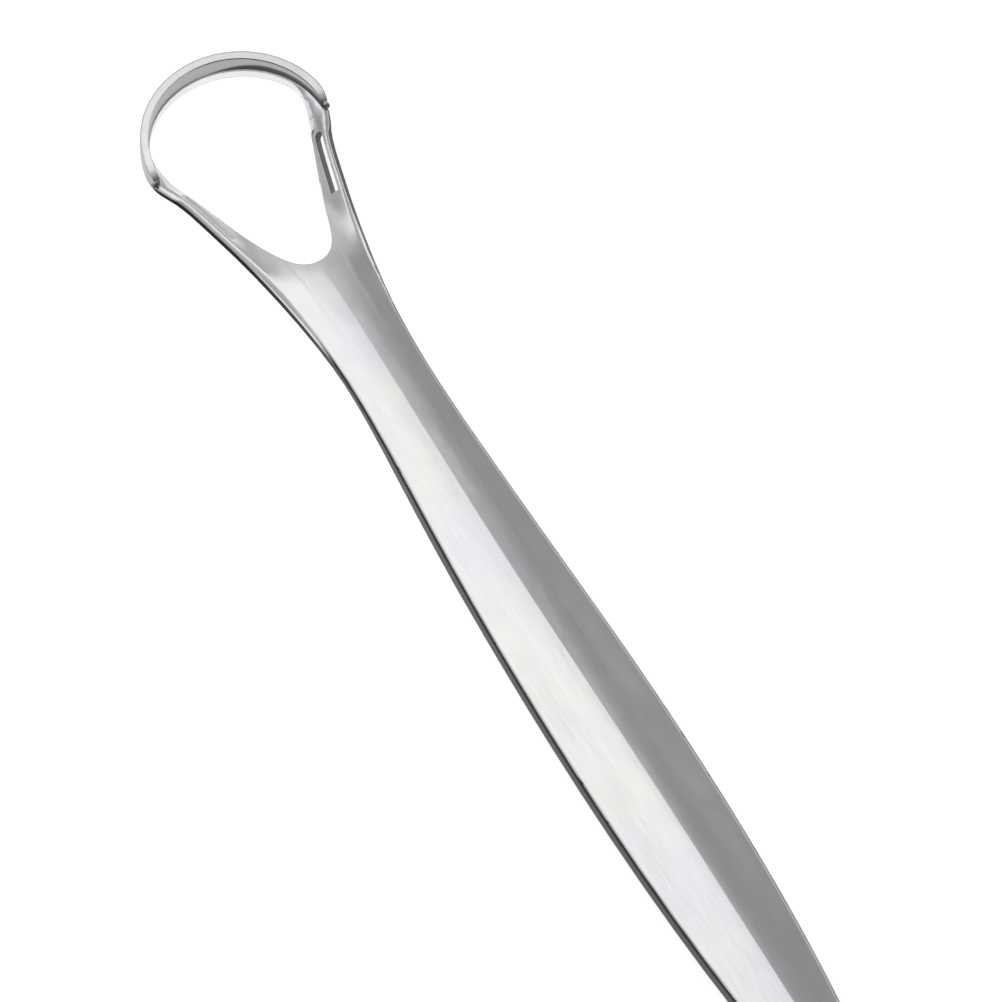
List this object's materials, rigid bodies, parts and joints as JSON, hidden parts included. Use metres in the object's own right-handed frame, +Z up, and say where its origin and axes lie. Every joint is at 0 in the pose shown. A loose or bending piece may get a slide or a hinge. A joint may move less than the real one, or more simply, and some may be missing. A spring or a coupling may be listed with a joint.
{
  "type": "tongue scraper",
  "caption": "Pressed stainless steel tongue scraper: crested hollow handle, slotted arms and a round loop with an upright scraping band.",
  "frame": {"origin": "under the middle of the object's length and width, on the plane that its rims lie on", "axes": "+X from the scraping loop towards the handle's end, +Z up, out of the handle's crested side"},
  "size_m": [0.17, 0.0244, 0.0067],
  "materials": {
    "handle_steel": "satin polished stainless steel",
    "band_steel": "satin stainless steel strip",
    "weld_steel": "darkened weld metal"
  },
  "bodies": {
    "root": {"handle": "handle_steel", "scraping_band": "band_steel", "left_end_weld": "weld_steel", "right_end_weld": "weld_steel"}
  },
  "joints": []
}
